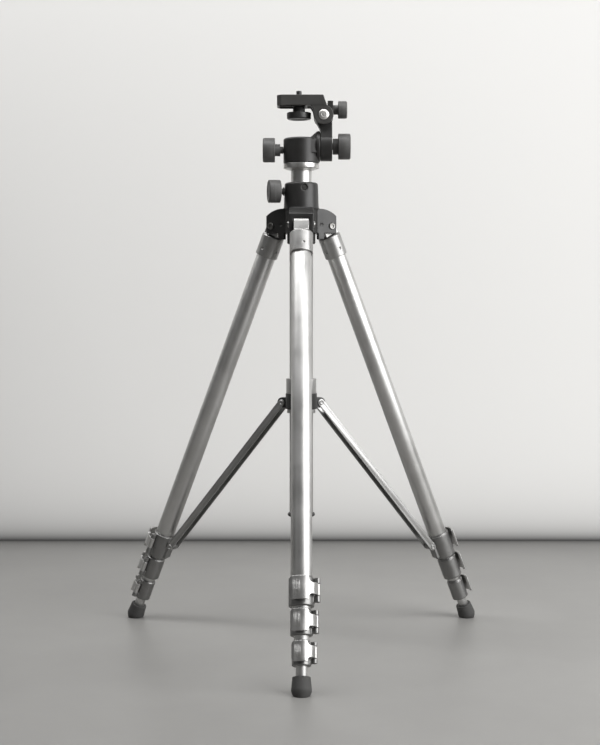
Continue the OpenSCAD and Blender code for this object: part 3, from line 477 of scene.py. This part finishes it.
# ---------------------------------------------------------------------------------------------
# Head. A silver base turns on the column, and three black castings stand on it: the housing with
# its tilt disc, the arm with a split clamp at its top, and the platform that the camera sits on.
# ---------------------------------------------------------------------------------------------
base_silver = nickelled("base_silver", 0.66, 0.3)
install(turned_part("pan_base_turned", "pan_base", 0.5 * MM), "column", "pan_base", base_silver)
install(cast_part("pan_housing_casting", "pan_housing", 0.5 * MM, 3, 0.5), "pan", "pan_housing", black_enamel)
install(cast_part("tilt_arm_casting", "tilt_arm", 0.4 * MM, 3, 0.5), "tilt", "tilt_arm", black_enamel)
install(cast_part("platform_casting", "platform", 0.45 * MM, 3, 0.5), "plate", "platform",
        stoved_black("platform_enamel", 0.042, 0.2))
install(turned_part("camera_screw_turned", "camera_screw", 0.4 * MM), "camera_knob", "camera_screw", black_moulding)

# ---------------------------------------------------------------------------------------------
# Room. A pale floor and wall, with painted shade darkening both into the corner where they meet,
# and painted light making the wall lighter low down than at its top. A large soft light on the right,
# a weak one on the left and one over the wall, and the camera at the height of the legs' middle.
# ---------------------------------------------------------------------------------------------


def plain_surface(name, colour, corners, rough, uneven, seam, painted_light_and_shade_steps):
    """A flat sheet of the room, with painted shade that darkens it towards its seam, each (depth, reach) pair adding
    one exponential fall; a negative depth paints light that makes it lighter there instead.
    The seam is a linear map (along Y, along Z, constant) that gives the distance from it."""
    finish, tree, shader, place = new_finish(name)
    clouds = mottle(tree, place, 4.0, 6.0, 0.6)
    low = tuple(c * (1 - uneven) for c in colour)
    high = tuple(c * (1 + uneven) for c in colour)
    tone = blend_colour(tree, ramp(tree, clouds, 0.3, 0.7), low, high)
    away = wire(tree, "ShaderNodeVectorMath", {0: place, 1: (0.0, seam[0], seam[1])}, "Value", operation="DOT_PRODUCT")
    away = wire(tree, "ShaderNodeMath", {0: away, 1: seam[2]}, operation="ADD")
    shade = 1.0
    # Each pair paints shade that falls off with distance from the seam; a negative depth paints light.
    for depth, reach in painted_light_and_shade_steps:
        fall = wire(tree, "ShaderNodeMath", {0: away, 1: -reach}, operation="DIVIDE")
        dark = wire(tree, "ShaderNodeMath", {0: fall}, operation="EXPONENT")
        shade = wire(tree, "ShaderNodeMath", {0: dark, 1: -depth, 2: shade}, operation="MULTIPLY_ADD")
    tree.links.new(wire(tree, "ShaderNodeVectorMath", {0: tone, "Scale": shade}, operation="SCALE"), shader.inputs["Base Color"])
    shader.inputs["Roughness"].default_value = rough
    mesh = bpy.data.meshes.new(name)
    mesh.from_pydata(corners, [], [(0, 1, 2, 3)])
    surface = bpy.data.objects.new(name, mesh)
    bpy.context.collection.objects.link(surface)
    mesh.materials.append(finish)


wall_y = column_y - 1.65 + 2.352
floor_corners = [(-6, -5, 0), (6, -5, 0), (6, wall_y, 0), (-6, wall_y, 0)]
wall_corners = [(-6, wall_y, 0), (6, wall_y, 0), (6, wall_y, 5), (-6, wall_y, 5)]
# Painted shade: the floor darkens towards the foot of the wall.
plain_surface("floor", (0.235, 0.231, 0.223), floor_corners, 0.42, 0.07, (-1, 0, wall_y), ((0.4, 0.15), (0.55, 0.02)))
# Painted light and shade: the wall is lighter low down than at its top, and darkens into the corner at its foot.
plain_surface("wall", (0.62, 0.615, 0.603), wall_corners, 0.9, 0.0, (0, 1, 0), ((-0.3, 0.4), (0.55, 0.05), (0.62, 0.01)))


def soft_light(name, spot, aim, width, height, watts):
    lamp = bpy.data.lights.new(name, "AREA")
    lamp.shape = "RECTANGLE"
    lamp.size = width
    lamp.size_y = height
    lamp.energy = watts
    holder = bpy.data.objects.new(name, lamp)
    holder.location = spot
    holder.rotation_euler = (Vector(aim) - Vector(spot)).to_track_quat("-Z", "Y").to_euler()
    bpy.context.collection.objects.link(holder)


soft_light("key", (1.5, -0.85, 0.95), (0, 0.05, 0.36), 1.7, 1.5, 46)
soft_light("fill", (-1.6, -1.3, 0.8), (0, 0.05, 0.35), 0.7, 1.2, 0.6)
soft_light("wall_wash", (-0.6, -0.1, 1.9), (-0.25, wall_y, 0.15), 3.0, 0.6, 36)

world = bpy.data.worlds.new("room")
world.use_nodes = True
world.node_tree.nodes["Background"].inputs[0].default_value = (0.62, 0.62, 0.61, 1)
world.node_tree.nodes["Background"].inputs[1].default_value = 0.14
bpy.context.scene.world = world
bpy.context.scene.view_settings.view_transform = "Standard"

lens = bpy.data.cameras.new("camera")
lens.lens = 68.57
lens.sensor_width = 36.0
lens.shift_y = -66.0 / 745.0
eye = bpy.data.objects.new("camera", lens)
eye.location = (-1.5 * MM, column_y - 1.65, 0.387)
eye.rotation_euler = (math.radians(90), 0, 0)
bpy.context.collection.objects.link(eye)
bpy.context.scene.camera = eye
